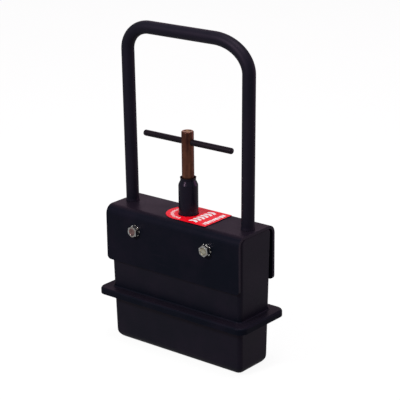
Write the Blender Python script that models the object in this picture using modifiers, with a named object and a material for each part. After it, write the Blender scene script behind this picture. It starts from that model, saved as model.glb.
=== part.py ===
"""A hand-held magnetic bulk parts lifter, as the separate pieces that it is built from.

Metres, +Z up. The origin is the centre of the lifting face, which is the flat underside of
the casing. +X runs along the length, and -Y is the front, where the bolt heads are.
The magnet pack and its T-handle slide straight up inside the casing, along Z.
"""

import math

import bmesh
import bpy
from mathutils import Matrix

MM = 0.001
GAP = 0.3 * MM  # left between pieces that touch on the real object
TINY = 0.05 * MM  # merge distance of the turned shapes
OVERLAP = 1 * MM  # of two shapes that a Boolean joins, or of a cutter past a face

# Casing: a deep tray, open at the top, a little wider at the top than at the bottom.
CASING_LENGTH = 159 * MM  # at the lifting face
CASING_WIDTH = 43.8 * MM
CASING_TOP = 136 * MM
CASING_WALL = 3 * MM
CASING_DRAFT = math.radians(1.05)
CASING_BOTTOM_RADIUS = 6 * MM
CASING_CORNER_RADIUS = 4.5 * MM

# Flange collar round the casing, which strips the load off when the magnets go up.
FLANGE_LENGTH = 183 * MM
FLANGE_WIDTH = 69.4 * MM
FLANGE_BOTTOM = 49.1 * MM
FLANGE_THICKNESS = 6.7 * MM
FLANGE_CORNER_RADIUS = 9 * MM
FLANGE_EDGE_RADIUS = 2 * MM

# Cover: one sheet bent into an upside-down U, open at its two ends.
COVER_LENGTH = 165 * MM
COVER_WIDTH = 56 * MM
COVER_TOP = 142 * MM
COVER_SKIRT_END = 86 * MM
COVER_SHEET = 3 * MM
COVER_BEND_RADIUS = 7 * MM  # outside
COVER_CORNER_RADIUS = 4 * MM

# Handle: one bent round bar, welded to the cover by its two feet.
HANDLE_BAR_RADIUS = 6.35 * MM
HANDLE_FOOT_X = 71.9 * MM
HANDLE_SHOULDER_X = 73.4 * MM  # the legs lean outwards a little
HANDLE_TOP = 319.3 * MM  # centreline
HANDLE_LEFT_BEND = (28 * MM, 24 * MM)  # centreline, along X and along Z
HANDLE_RIGHT_BEND = (40 * MM, 29 * MM)
HANDLE_BEND_STEPS = 7
WELD_HEIGHT = 6.5 * MM
WELD_SPREAD = 1.16  # foot radius over bar radius

# Guide tube, which carries the spindle above the cover.
TUBE_RADIUS = 9.6 * MM
TUBE_FOOT_RADIUS = 9.9 * MM
TUBE_FOOT_HEIGHT = 2 * MM
TUBE_SPIGOT_RADIUS = 8.2 * MM
TUBE_CONE_BOTTOM = 172.3 * MM
TUBE_CONE_TOP = 177.3 * MM
TUBE_NECK_RADIUS = 7.3 * MM
TUBE_LIP_RADIUS = 7.65 * MM
TUBE_TOP = 179.5 * MM
BUSH_RADIUS = 7.3 * MM
BUSH_TOP = 163 * MM
BUSH_FLANGE_RADIUS = 10.5 * MM
BUSH_FLANGE_THICKNESS = 1.5 * MM
RUNNING_CLEARANCE = 0.15 * MM

# Spindle and T-bar.
SPINDLE_RADIUS = 6 * MM
SPINDLE_TOP = 225.4 * MM
SPINDLE_CHAMFER = 0.7 * MM
SPINDLE_DISH_RADIUS = 3.4 * MM
SPINDLE_DISH_DEPTH = 1.2 * MM
SPIGOT_RADIUS = 4 * MM
T_BAR_RADIUS = 3 * MM
T_BAR_LENGTH = 108 * MM
T_BAR_HEIGHT = 214.7 * MM
T_BAR_END_RADIUS = 1 * MM

# Through bolts, which hold the casing in the cover and stop the magnet pack at the top.
BOLT_X = 44.5 * MM
BOLT_HEIGHT = 123.2 * MM
BOLT_RADIUS = 3 * MM
HEX_ACROSS_FLATS = 10 * MM
HEAD_HEIGHT = 4 * MM
NUT_HEIGHT = 3.2 * MM
BOLT_END_PROUD = 0.7 * MM
WASHER_RADIUS = 6 * MM
WASHER_ROOT_RADIUS = 4.7 * MM
WASHER_THICKNESS = 0.8 * MM
WASHER_TEETH = 8
SPACER_RADIUS = 5 * MM

# Name plate on the cover: its left end is a half circle and its right end is square.
PLATE_LEFT = -22.4 * MM
PLATE_RIGHT = 36.8 * MM
PLATE_WIDTH = 41.6 * MM
PLATE_THICKNESS = 0.7 * MM
PLATE_LIFT = 0.15 * MM

# Magnet pack, which rests on the casing's floor.
PACK_BOTTOM = 3.3 * MM
POLE_LENGTH = 144 * MM
POLE_HEIGHT = 42 * MM
POLE_THICKNESS = 6 * MM
POLE_FACE_Y = 16 * MM  # outer face
MAGNET_LENGTH = 41 * MM
MAGNET_HEIGHT = 34 * MM
MAGNET_PITCH = 50 * MM
MAGNET_RAISE = 1.7 * MM  # above the poles' lower edge
MAGNET_CHAMFER = 0.8 * MM
CLAMP_SCREW_X = 25 * MM
CLAMP_SCREW_HEIGHT = 22 * MM
CLAMP_SCREW_RADIUS = 2.5 * MM
CLAMP_HEAD_RADIUS = 4.6 * MM
CLAMP_HEAD_HEIGHT = 2.5 * MM
CARRIER_THICKNESS = 8 * MM
CARRIER_SCREW_X = 62 * MM
CARRIER_SCREW_RADIUS = 2 * MM
CARRIER_HEAD_RADIUS = 3.5 * MM
CARRIER_HEAD_HEIGHT = 2.6 * MM
CARRIER_SCREW_DEPTH = 8 * MM  # into the pole plate
LOCK_WASHER_RADIUS = 8 * MM
LOCK_WASHER_THICKNESS = 1.2 * MM
LOCK_NUT_ACROSS_FLATS = 13 * MM
LOCK_NUT_HEIGHT = 4 * MM

ROUND_STEPS = 32  # sides of a turned piece
SMALL_STEPS = 16  # sides of a screw or a hole
SHARP_ANGLE = math.radians(35)

# Heights that follow from the sizes above.
CARRIER_BOTTOM = PACK_BOTTOM + POLE_HEIGHT + GAP
CARRIER_TOP = CARRIER_BOTTOM + CARRIER_THICKNESS
COVER_UNDERSIDE = COVER_TOP - COVER_SHEET
POLE_Y = POLE_FACE_Y - POLE_THICKNESS / 2


def clear_scene():
    for obj in list(bpy.data.objects):
        bpy.data.objects.remove(obj, do_unlink=True)


def new_collection(name):
    collection = bpy.data.collections.new(name)
    bpy.context.scene.collection.children.link(collection)
    return collection


def new_material(name, colour, roughness, metallic):
    material = bpy.data.materials.new(name)
    material.use_nodes = True
    shader = material.node_tree.nodes["Principled BSDF"]
    shader.inputs["Base Color"].default_value = (*colour, 1)
    shader.inputs["Roughness"].default_value = roughness
    shader.inputs["Metallic"].default_value = metallic
    return material


clear_scene()
PARTS = new_collection("magnetic_parts_lifter")
CUTTERS = new_collection("cutters")

BLACK_ENAMEL = ((0.012, 0.011, 0.016), 0.38, 0.0)
BLACK_BAR = ((0.010, 0.010, 0.014), 0.35, 0.0)
BLACKENED_STEEL = ((0.014, 0.012, 0.016), 0.42, 0.4)
BRONZE = ((0.30, 0.16, 0.09), 0.34, 1.0)
ZINC = ((0.62, 0.63, 0.62), 0.28, 1.0)
STEEL = ((0.42, 0.42, 0.43), 0.38, 1.0)
ALUMINIUM = ((0.70, 0.70, 0.72), 0.35, 1.0)
FERRITE = ((0.035, 0.035, 0.038), 0.70, 0.0)
BRASS = ((0.62, 0.45, 0.18), 0.30, 1.0)
RED_PLATE = ((0.62, 0.008, 0.018), 0.32, 0.0)


def new_object(name, data, finish=None, parent=None):
    """A part where a finish is given, and otherwise a cutter."""
    obj = bpy.data.objects.new(name, data)
    if finish:
        PARTS.objects.link(obj)
        data.materials.append(new_material(name + "_finish", *finish))
    else:
        CUTTERS.objects.link(obj)
        obj.hide_render = True
        obj.display_type = "WIRE"
    obj.parent = parent
    return obj


def smooth(obj):
    obj.data.shade_smooth()
    obj.data.set_sharp_from_angle(angle=SHARP_ANGLE)


def mesh_from(bm, name):
    mesh = bpy.data.meshes.new(name)
    bm.to_mesh(mesh)
    bm.free()
    return mesh


def block(name, size, centre, finish=None, parent=None, bevel=0.0):
    bm = bmesh.new()
    bmesh.ops.create_cube(bm, size=1)
    bmesh.ops.scale(bm, vec=size, verts=bm.verts)
    obj = new_object(name, mesh_from(bm, name), finish, parent)
    obj.location = centre
    if bevel:
        modifier = obj.modifiers.new("edges", "BEVEL")
        modifier.width = bevel
        modifier.segments = 2
    return obj


def turned(name, profile, finish=None, parent=None, steps=ROUND_STEPS):
    """A profile of (radius, height) points turned about Z. Its outer side runs from top to bottom."""
    mesh = bpy.data.meshes.new(name)
    points = [(radius, 0, height) for radius, height in profile]
    closed = profile[0][0] > 0
    count = len(points)
    edges = [(i, (i + 1) % count) for i in range(count if closed else count - 1)]
    mesh.from_pydata(points, edges, [])
    obj = new_object(name, mesh, finish, parent)
    screw = obj.modifiers.new("turn", "SCREW")
    screw.axis = "Z"
    screw.steps = steps
    screw.render_steps = steps
    screw.use_merge_vertices = True
    screw.merge_threshold = TINY
    screw.use_smooth_shade = True
    return obj


def pin_profile(radius, top, bottom):
    return [(0, top), (radius, top), (radius, bottom), (0, bottom)]


def tube_profile(outer, inner, top, bottom):
    return [(outer, top), (outer, bottom), (inner, bottom), (inner, top)]


def hexagon(name, across_flats, height, finish=None, parent=None):
    """A hexagonal prism along Z, from 0 up to its height, with two flats facing +Y and -Y."""
    bm = bmesh.new()
    corner = across_flats / math.sqrt(3)
    bmesh.ops.create_cone(bm, cap_ends=True, segments=6, radius1=corner, radius2=corner, depth=height)
    bmesh.ops.rotate(bm, verts=bm.verts, matrix=Matrix.Rotation(math.radians(30), 3, "Z"))
    bmesh.ops.translate(bm, verts=bm.verts, vec=(0, 0, height / 2))
    return new_object(name, mesh_from(bm, name), finish, parent)


def flat_plate(name, outlines, thickness, centre, finish=None, parent=None):
    """A plate in the XY plane. The first outline is its edge, and the others are holes in it."""
    curve = bpy.data.curves.new(name, "CURVE")
    curve.dimensions = "2D"
    curve.fill_mode = "BOTH"
    curve.extrude = thickness / 2
    for outline in outlines:
        spline = curve.splines.new("POLY")
        spline.points.add(len(outline) - 1)
        for point, (x, y) in zip(spline.points, outline):
            point.co = (x, y, 0, 1)
        spline.use_cyclic_u = True
    obj = new_object(name, curve, finish, parent)
    obj.location = centre
    return obj


def arc(centre, radius, start, end, steps):
    """Points round a centre, from one angle in degrees to another."""
    angles = [math.radians(start + (end - start) * i / steps) for i in range(steps + 1)]
    return [(centre[0] + radius * math.cos(a), centre[1] + radius * math.sin(a)) for a in angles]


def rounded_rectangle(length, width, radius, steps=4):
    x = length / 2 - radius
    y = width / 2 - radius
    points = []
    for start, corner in ((0, (x, y)), (90, (-x, y)), (180, (-x, -y)), (270, (x, -y))):
        points += arc(corner, radius, start, start + 90, steps)
    return points


def circle(radius, steps=ROUND_STEPS):
    return arc((0, 0), radius, 0, 360 - 360 / steps, steps - 1)


def cut(target, cutter):
    modifier = target.modifiers.new(cutter.name, "BOOLEAN")
    modifier.operation = "DIFFERENCE"
    modifier.solver = "EXACT"
    modifier.object = cutter


def join(target, addition):
    modifier = target.modifiers.new(addition.name, "BOOLEAN")
    modifier.operation = "UNION"
    modifier.solver = "EXACT"
    modifier.object = addition


def drill(target, name, radius, length, centre, direction="Z", steps=SMALL_STEPS):
    cutter = turned(name, pin_profile(radius, length / 2, -length / 2), steps=steps)
    cutter.location = centre
    cutter.rotation_euler = TURN[direction]
    cut(target, cutter)


# Rotations that lay a piece made along Z along another axis.
TURN = {
    "Z": (0, 0, 0),
    "X": (0, math.radians(90), 0),
    "-Y": (math.radians(90), 0, 0),
    "Y": (math.radians(-90), 0, 0),
}


def curve_as_mesh(obj):
    """The curve object made a mesh object of the same name, with its caps welded."""
    name = obj.name
    parent = obj.parent
    bpy.context.view_layer.update()
    graph = bpy.context.evaluated_depsgraph_get()
    mesh = bpy.data.meshes.new_from_object(obj.evaluated_get(graph))
    bm = bmesh.new()
    bm.from_mesh(mesh)
    bmesh.ops.remove_doubles(bm, verts=bm.verts, dist=TINY)
    bm.to_mesh(mesh)
    bm.free()
    world = obj.matrix_world.copy()
    bpy.data.objects.remove(obj)
    made = bpy.data.objects.new(name, mesh)
    PARTS.objects.link(made)
    made.parent = parent
    made.matrix_world = world
    return made


def casing_half_width(half, height):
    return half + height * math.tan(CASING_DRAFT)


def make_casing():
    bm = bmesh.new()
    bmesh.ops.create_cube(bm, size=1)
    bmesh.ops.translate(bm, verts=bm.verts, vec=(0, 0, 0.5))
    bmesh.ops.scale(bm, vec=(CASING_LENGTH, CASING_WIDTH, CASING_TOP), verts=bm.verts)
    spread = CASING_TOP * math.tan(CASING_DRAFT)
    for vertex in bm.verts:
        if vertex.co.z > CASING_TOP / 2:
            vertex.co.x += math.copysign(spread, vertex.co.x)
            vertex.co.y += math.copysign(spread, vertex.co.y)
    bm.faces.ensure_lookup_table()
    top = max(bm.faces, key=lambda face: face.calc_center_median().z)
    bmesh.ops.delete(bm, geom=[top], context="FACES_ONLY")
    weight = bm.edges.layers.float.new("bevel_weight_edge")
    for edge in bm.edges:
        heights = [vertex.co.z for vertex in edge.verts]
        if max(heights) < CASING_TOP / 2:
            edge[weight] = 1
        elif min(heights) < CASING_TOP / 2:
            edge[weight] = CASING_CORNER_RADIUS / CASING_BOTTOM_RADIUS
    casing = new_object("casing", mesh_from(bm, "casing"), BLACK_ENAMEL)
    bevel = casing.modifiers.new("rounded_edges", "BEVEL")
    bevel.limit_method = "WEIGHT"
    bevel.width = CASING_BOTTOM_RADIUS
    bevel.segments = 4
    solidify = casing.modifiers.new("wall", "SOLIDIFY")
    solidify.thickness = CASING_WALL
    solidify.offset = -1
    solidify.use_even_offset = True
    for side, x in (("left", -BOLT_X), ("right", BOLT_X)):
        drill(casing, f"casing_hole_{side}", BOLT_RADIUS + GAP, COVER_WIDTH, (x, 0, BOLT_HEIGHT), "Y")
    smooth(casing)


def make_flange_collar():
    inner_length = 2 * casing_half_width(CASING_LENGTH / 2, FLANGE_BOTTOM + FLANGE_THICKNESS) + 2 * GAP
    inner_width = 2 * casing_half_width(CASING_WIDTH / 2, FLANGE_BOTTOM + FLANGE_THICKNESS) + 2 * GAP
    collar = flat_plate(
        "flange_collar",
        [
            rounded_rectangle(FLANGE_LENGTH, FLANGE_WIDTH, FLANGE_CORNER_RADIUS),
            rounded_rectangle(inner_length, inner_width, CASING_CORNER_RADIUS),
        ],
        FLANGE_THICKNESS,
        (0, 0, FLANGE_BOTTOM + FLANGE_THICKNESS / 2),
        BLACK_ENAMEL,
    )
    collar = curve_as_mesh(collar)
    bevel = collar.modifiers.new("rounded_edges", "BEVEL")
    bevel.limit_method = "WEIGHT"
    bevel.width = FLANGE_EDGE_RADIUS
    bevel.segments = 2
    mark_outer_edges(collar, inner_length / 2 + GAP, inner_width / 2 + GAP)
    smooth(collar)


def mark_outer_edges(obj, inner_x, inner_y):
    """Gives a bevel weight to the flat plate's edges that lie outside its opening."""
    bm = bmesh.new()
    bm.from_mesh(obj.data)
    weight = bm.edges.layers.float.new("bevel_weight_edge")
    for edge in bm.edges:
        normals = [face.normal.z for face in edge.link_faces]
        middle = (edge.verts[0].co + edge.verts[1].co) / 2
        at_rim = len(normals) == 2 and abs(abs(normals[0]) - abs(normals[1])) > 0.5
        outside = abs(middle.x) > inner_x or abs(middle.y) > inner_y
        edge[weight] = 1 if at_rim and outside else 0
    bm.to_mesh(obj.data)
    bm.free()


def make_cover_channel():
    """A sheet that runs down the back skirt's outer side, over the top and down the front."""
    half = COVER_WIDTH / 2
    bend = COVER_BEND_RADIUS
    section = [(half, COVER_SKIRT_END)]
    section += arc((half - bend, COVER_TOP - bend), bend, 0, 90, 5)
    section += arc((-half + bend, COVER_TOP - bend), bend, 90, 180, 5)
    section += [(-half, COVER_SKIRT_END)]
    bm = bmesh.new()
    rows = [[bm.verts.new((x, y, z)) for y, z in section] for x in (-COVER_LENGTH / 2, COVER_LENGTH / 2)]
    for i in range(len(section) - 1):
        bm.faces.new((rows[0][i], rows[1][i], rows[1][i + 1], rows[0][i + 1]))
    corners = [row[i] for row in rows for i in (0, -1)]
    bmesh.ops.bevel(bm, geom=corners, offset=COVER_CORNER_RADIUS, segments=3, profile=0.5, affect="VERTICES")
    bmesh.ops.recalc_face_normals(bm, faces=bm.faces)
    if sum(face.normal.z for face in bm.faces) < 0:
        bmesh.ops.reverse_faces(bm, faces=bm.faces)
    cover = new_object("cover_channel", mesh_from(bm, "cover_channel"), BLACK_ENAMEL)
    solidify = cover.modifiers.new("sheet", "SOLIDIFY")
    solidify.thickness = COVER_SHEET
    solidify.offset = -1
    solidify.use_even_offset = True
    tube_hole = TUBE_SPIGOT_RADIUS + GAP
    drill(cover, "cover_tube_hole", tube_hole, 3 * COVER_SHEET, (0, 0, COVER_TOP), steps=ROUND_STEPS)
    for side, x in (("left", -BOLT_X), ("right", BOLT_X)):
        drill(cover, f"cover_hole_{side}", BOLT_RADIUS + GAP, 2 * COVER_WIDTH, (x, 0, BOLT_HEIGHT), "Y")
    smooth(cover)


def handle_side(side, bend, foot):
    """Centreline points in XZ up one leg and round its hand-formed bend, a quarter of an ellipse."""
    along_x, along_z = bend
    quarter = [
        (HANDLE_SHOULDER_X - along_x * (1 - x), HANDLE_TOP - along_z * (1 - z))
        for x, z in arc((0, 0), 1, 0, 90, HANDLE_BEND_STEPS)
    ]
    leg = [(HANDLE_FOOT_X, foot), (HANDLE_FOOT_X, foot + WELD_HEIGHT)]
    return [(side * x, z) for x, z in leg + quarter]


def make_handle_bar():
    foot = COVER_TOP + GAP
    right = handle_side(1, HANDLE_RIGHT_BEND, foot)
    left = handle_side(-1, HANDLE_LEFT_BEND, foot)
    path = right + left[::-1]
    curve = bpy.data.curves.new("handle_bar", "CURVE")
    curve.dimensions = "3D"
    curve.bevel_depth = HANDLE_BAR_RADIUS
    curve.bevel_resolution = 5
    curve.use_fill_caps = True
    spline = curve.splines.new("POLY")
    spline.points.add(len(path) - 1)
    for point, (x, z) in zip(spline.points, path):
        point.co = (x, 0, z, 1)
    spline.points[0].radius = WELD_SPREAD
    spline.points[-1].radius = WELD_SPREAD
    return new_object("handle_bar", curve, BLACK_BAR)


def make_guide_tube():
    bore = BUSH_RADIUS + GAP
    lip_bore = SPINDLE_RADIUS + RUNNING_CLEARANCE
    foot = COVER_TOP + GAP
    turned(
        "guide_tube",
        [
            (TUBE_LIP_RADIUS, TUBE_TOP),
            (TUBE_LIP_RADIUS, TUBE_CONE_TOP),
            (TUBE_NECK_RADIUS, TUBE_CONE_TOP - GAP),
            (TUBE_RADIUS, TUBE_CONE_BOTTOM),
            (TUBE_RADIUS, foot + TUBE_FOOT_HEIGHT),
            (TUBE_FOOT_RADIUS, foot),
            (TUBE_SPIGOT_RADIUS, foot),
            (TUBE_SPIGOT_RADIUS, COVER_UNDERSIDE + GAP),
            (bore, COVER_UNDERSIDE + GAP),
            (bore, BUSH_TOP + GAP),
            (lip_bore, BUSH_TOP + GAP),
            (lip_bore, TUBE_TOP),
        ],
        BLACK_BAR,
    )
    bush_bottom = COVER_UNDERSIDE - GAP - BUSH_FLANGE_THICKNESS
    turned(
        "guide_bush",
        [
            (BUSH_RADIUS, BUSH_TOP),
            (BUSH_RADIUS, COVER_UNDERSIDE - GAP),
            (BUSH_FLANGE_RADIUS, COVER_UNDERSIDE - GAP),
            (BUSH_FLANGE_RADIUS, bush_bottom),
            (lip_bore, bush_bottom),
            (lip_bore, BUSH_TOP),
        ],
        BRASS,
    )


def make_name_plate():
    radius = PLATE_WIDTH / 2
    edge = [(PLATE_RIGHT, -radius), (PLATE_RIGHT, radius)]
    edge += arc((PLATE_LEFT + radius, 0), radius, 90, 270, 16)
    flat_plate(
        "name_plate",
        [edge, circle(TUBE_FOOT_RADIUS + GAP)],
        PLATE_THICKNESS,
        (0, 0, COVER_TOP + PLATE_LIFT + PLATE_THICKNESS / 2),
        RED_PLATE,
    )


def star_outline():
    """The toothed edge of a washer: each tooth is a quarter of its pitch wide."""
    points = []
    for i in range(4 * WASHER_TEETH):
        angle = 2 * math.pi * (i + 0.5) / (4 * WASHER_TEETH)
        radius = WASHER_RADIUS if i % 4 in (0, 1) else WASHER_ROOT_RADIUS
        points.append((radius * math.cos(angle), radius * math.sin(angle)))
    return points


def star_washer(name, x, y):
    washer = flat_plate(
        name, [star_outline(), circle(BOLT_RADIUS + GAP, SMALL_STEPS)], WASHER_THICKNESS, (0, 0, 0), ZINC
    )
    washer.location = (x, y, BOLT_HEIGHT)
    washer.rotation_euler = TURN["-Y"]


def make_through_bolts():
    """Each bolt lies along Y: head and star washer in front, star washer and thin nut behind."""
    skirt = COVER_WIDTH / 2
    washer_y = skirt + GAP + WASHER_THICKNESS / 2
    seat = skirt + 2 * GAP + WASHER_THICKNESS
    spacer_half = casing_half_width(CASING_WIDTH / 2, BOLT_HEIGHT) - CASING_WALL - 2 * GAP
    shank_end = seat + NUT_HEIGHT + BOLT_END_PROUD
    for side, x in (("left", -BOLT_X), ("right", BOLT_X)):
        bolt = hexagon(f"through_bolt_{side}", HEX_ACROSS_FLATS, HEAD_HEIGHT, ZINC)
        bolt.location = (x, -seat, BOLT_HEIGHT)
        bolt.rotation_euler = TURN["-Y"]
        shank_profile = pin_profile(BOLT_RADIUS, seat + OVERLAP, -shank_end)
        shank = turned(f"bolt_shank_{side}", shank_profile, steps=SMALL_STEPS)
        shank.location = (x, 0, BOLT_HEIGHT)
        shank.rotation_euler = TURN["-Y"]
        join(bolt, shank)
        star_washer(f"bolt_washer_{side}", x, -washer_y)
        star_washer(f"nut_washer_{side}", x, washer_y)
        nut = hexagon(f"bolt_nut_{side}", HEX_ACROSS_FLATS, NUT_HEIGHT, ZINC)
        nut.location = (x, seat, BOLT_HEIGHT)
        nut.rotation_euler = TURN["Y"]
        drill(nut, f"nut_hole_{side}", BOLT_RADIUS + GAP, 4 * NUT_HEIGHT, (x, seat, BOLT_HEIGHT), "Y")
        spacer_profile = tube_profile(SPACER_RADIUS, BOLT_RADIUS + GAP, spacer_half, -spacer_half)
        spacer = turned(f"stop_spacer_{side}", spacer_profile, STEEL)
        spacer.location = (x, 0, BOLT_HEIGHT)
        spacer.rotation_euler = TURN["Y"]


def make_spindle(plunger):
    top = SPINDLE_TOP
    shoulder = CARRIER_TOP + GAP
    bottom = CARRIER_BOTTOM - 3 * GAP - LOCK_WASHER_THICKNESS - LOCK_NUT_HEIGHT
    spindle = turned(
        "spindle",
        [
            (0, top - SPINDLE_DISH_DEPTH),
            (SPINDLE_DISH_RADIUS, top),
            (SPINDLE_RADIUS - SPINDLE_CHAMFER, top),
            (SPINDLE_RADIUS, top - SPINDLE_CHAMFER),
            (SPINDLE_RADIUS, shoulder),
            (SPIGOT_RADIUS, shoulder),
            (SPIGOT_RADIUS, bottom),
            (0, bottom),
        ],
        BRONZE,
        plunger,
    )
    hole = T_BAR_RADIUS + GAP
    drill(spindle, "t_bar_hole", hole, 4 * SPINDLE_RADIUS, (0, 0, T_BAR_HEIGHT), "X", ROUND_STEPS)


def make_t_bar(plunger):
    half = T_BAR_LENGTH / 2
    corner = T_BAR_RADIUS - T_BAR_END_RADIUS
    end = arc((corner, half - T_BAR_END_RADIUS), T_BAR_END_RADIUS, 90, 0, 3)
    profile = [(0, half)] + end + [(radius, -height) for radius, height in reversed(end)] + [(0, -half)]
    bar = turned("t_bar", profile, BLACKENED_STEEL, plunger, steps=SMALL_STEPS)
    bar.location = (0, 0, T_BAR_HEIGHT)
    bar.rotation_euler = TURN["X"]


def make_carrier(plunger):
    width = 2 * POLE_FACE_Y
    centre = (0, 0, CARRIER_BOTTOM + CARRIER_THICKNESS / 2)
    carrier = block("carrier_plate", (POLE_LENGTH, width, CARRIER_THICKNESS), centre, ALUMINIUM, plunger)
    drill(carrier, "carrier_hole", SPIGOT_RADIUS + GAP, 3 * CARRIER_THICKNESS, centre, steps=ROUND_STEPS)
    washer_top = CARRIER_BOTTOM - GAP
    washer_bottom = washer_top - LOCK_WASHER_THICKNESS
    hole = SPIGOT_RADIUS + GAP
    turned("spindle_washer", tube_profile(LOCK_WASHER_RADIUS, hole, washer_top, washer_bottom), ZINC, plunger)
    nut = hexagon("spindle_nut", LOCK_NUT_ACROSS_FLATS, LOCK_NUT_HEIGHT, ZINC, plunger)
    nut.location = (0, 0, washer_bottom - GAP - LOCK_NUT_HEIGHT)
    drill(nut, "spindle_nut_hole", hole, 4 * LOCK_NUT_HEIGHT, nut.location)
    head = CARRIER_TOP + GAP
    tip = CARRIER_BOTTOM - CARRIER_SCREW_DEPTH
    screw_profile = [
        (0, head + CARRIER_HEAD_HEIGHT),
        (CARRIER_HEAD_RADIUS, head + CARRIER_HEAD_HEIGHT),
        (CARRIER_HEAD_RADIUS, head),
        (CARRIER_SCREW_RADIUS, head),
        (CARRIER_SCREW_RADIUS, tip),
        (0, tip),
    ]
    screw_hole = CARRIER_SCREW_RADIUS + GAP
    for place, x, y in CARRIER_SCREWS:
        drill(carrier, f"carrier_hole_{place}", screw_hole, 3 * CARRIER_THICKNESS, (x, y, CARRIER_BOTTOM))
        screw = turned(f"carrier_screw_{place}", screw_profile, ZINC, plunger, SMALL_STEPS)
        screw.location = (x, y, 0)


CARRIER_SCREWS = [
    ("front_left", -CARRIER_SCREW_X, -POLE_Y),
    ("front_right", CARRIER_SCREW_X, -POLE_Y),
    ("back_left", -CARRIER_SCREW_X, POLE_Y),
    ("back_right", CARRIER_SCREW_X, POLE_Y),
]


def make_magnet_pack(plunger):
    middle = PACK_BOTTOM + POLE_HEIGHT / 2
    for place, side in (("front", -1), ("back", 1)):
        pole = block(
            f"pole_plate_{place}",
            (POLE_LENGTH, POLE_THICKNESS, POLE_HEIGHT),
            (0, side * POLE_Y, middle),
            STEEL,
            plunger,
        )
        for end, x in (("left", -CLAMP_SCREW_X), ("right", CLAMP_SCREW_X)):
            if place == "front":
                cut(pole, countersink(f"countersink_{end}", x))
            else:
                position = (x, POLE_Y, CLAMP_SCREW_HEIGHT)
                drill(pole, f"clamp_hole_{end}", CLAMP_SCREW_RADIUS + GAP, 3 * POLE_THICKNESS, position, "Y")
        for corner, x, y in CARRIER_SCREWS:
            if y * side > 0:
                depth = CARRIER_SCREW_DEPTH + GAP
                position = (x, y, CARRIER_BOTTOM)
                drill(pole, f"pole_tapping_{corner}", CARRIER_SCREW_RADIUS + GAP, 2 * depth, position)
    width = 2 * (POLE_FACE_Y - POLE_THICKNESS - GAP)
    height = PACK_BOTTOM + MAGNET_RAISE + MAGNET_HEIGHT / 2
    size = (MAGNET_LENGTH, width, MAGNET_HEIGHT)
    for place, x in (("left", -MAGNET_PITCH), ("middle", 0), ("right", MAGNET_PITCH)):
        block(f"magnet_{place}", size, (x, 0, height), FERRITE, plunger, MAGNET_CHAMFER)
    make_clamp_screws(plunger)


def countersunk_profile(radius, head, length):
    """A countersunk screw along Z, with the flat top of its head at 0."""
    return [(0, 0), (head, 0), (radius, -CLAMP_HEAD_HEIGHT), (radius, -length), (0, -length)]


def countersink(name, x):
    """The hole for a clamp screw: the screw's own shape, GAP larger all round, open at the top."""
    radius = CLAMP_SCREW_RADIUS + GAP
    head = CLAMP_HEAD_RADIUS + GAP
    profile = [(0, OVERLAP), (head, OVERLAP)] + countersunk_profile(radius, head, 2 * POLE_THICKNESS)[1:]
    cutter = turned(name, profile, steps=SMALL_STEPS)
    cutter.location = (x, -POLE_FACE_Y, CLAMP_SCREW_HEIGHT)
    cutter.rotation_euler = TURN["-Y"]
    return cutter


def make_clamp_screws(plunger):
    """Brass screws between the magnets, with heads sunk in the front pole plate."""
    length = 2 * POLE_FACE_Y - 2 * GAP
    for side, x in (("left", -CLAMP_SCREW_X), ("right", CLAMP_SCREW_X)):
        profile = countersunk_profile(CLAMP_SCREW_RADIUS, CLAMP_HEAD_RADIUS, length)
        screw = turned(f"clamp_screw_{side}", profile, BRASS, plunger, SMALL_STEPS)
        screw.location = (x, -POLE_FACE_Y + GAP, CLAMP_SCREW_HEIGHT)
        screw.rotation_euler = TURN["-Y"]


def make_plunger():
    """The pieces that lift together, held by an empty on the axis they slide along."""
    plunger = bpy.data.objects.new("magnet_lift_axis", None)
    PARTS.objects.link(plunger)
    make_spindle(plunger)
    make_t_bar(plunger)
    make_carrier(plunger)
    make_magnet_pack(plunger)


make_casing()
make_flange_collar()
make_cover_channel()
make_handle_bar()
make_guide_tube()
make_name_plate()
make_through_bolts()
make_plunger()
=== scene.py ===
"""The looks of a hand-held magnetic bulk parts lifter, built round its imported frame.

Places and overall sizes are read from the frame. The constants below are the finer sizes:
walls, edge radii, tooth shapes, weld beads, printed marks, lights and the camera.
Metres, +Z up. -Y is the front, where the bolt heads are.
"""

import math

import bmesh
import bpy
from mathutils import Matrix, Vector


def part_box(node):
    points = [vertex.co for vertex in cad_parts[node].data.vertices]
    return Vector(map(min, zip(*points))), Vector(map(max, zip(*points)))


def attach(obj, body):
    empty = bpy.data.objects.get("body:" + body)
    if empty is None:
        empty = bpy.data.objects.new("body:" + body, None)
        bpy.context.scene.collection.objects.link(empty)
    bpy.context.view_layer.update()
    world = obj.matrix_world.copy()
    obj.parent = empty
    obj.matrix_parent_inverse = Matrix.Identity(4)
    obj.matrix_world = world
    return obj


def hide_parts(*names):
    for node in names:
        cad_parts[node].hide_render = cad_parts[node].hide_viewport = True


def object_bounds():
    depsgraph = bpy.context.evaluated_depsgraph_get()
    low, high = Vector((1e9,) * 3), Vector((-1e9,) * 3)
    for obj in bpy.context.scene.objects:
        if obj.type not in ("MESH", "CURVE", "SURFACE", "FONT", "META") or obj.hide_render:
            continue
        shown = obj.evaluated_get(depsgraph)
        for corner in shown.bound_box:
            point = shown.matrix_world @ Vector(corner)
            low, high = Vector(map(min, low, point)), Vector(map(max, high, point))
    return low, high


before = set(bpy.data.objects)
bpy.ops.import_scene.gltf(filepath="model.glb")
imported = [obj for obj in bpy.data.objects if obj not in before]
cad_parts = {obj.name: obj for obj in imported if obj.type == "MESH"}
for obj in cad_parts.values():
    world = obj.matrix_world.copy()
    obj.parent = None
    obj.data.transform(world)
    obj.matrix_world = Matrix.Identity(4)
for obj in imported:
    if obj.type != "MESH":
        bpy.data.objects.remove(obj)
CAD_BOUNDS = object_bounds()

MM = 0.001
SHARP = math.radians(38)
FACE_WEIGHT = 80

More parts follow.
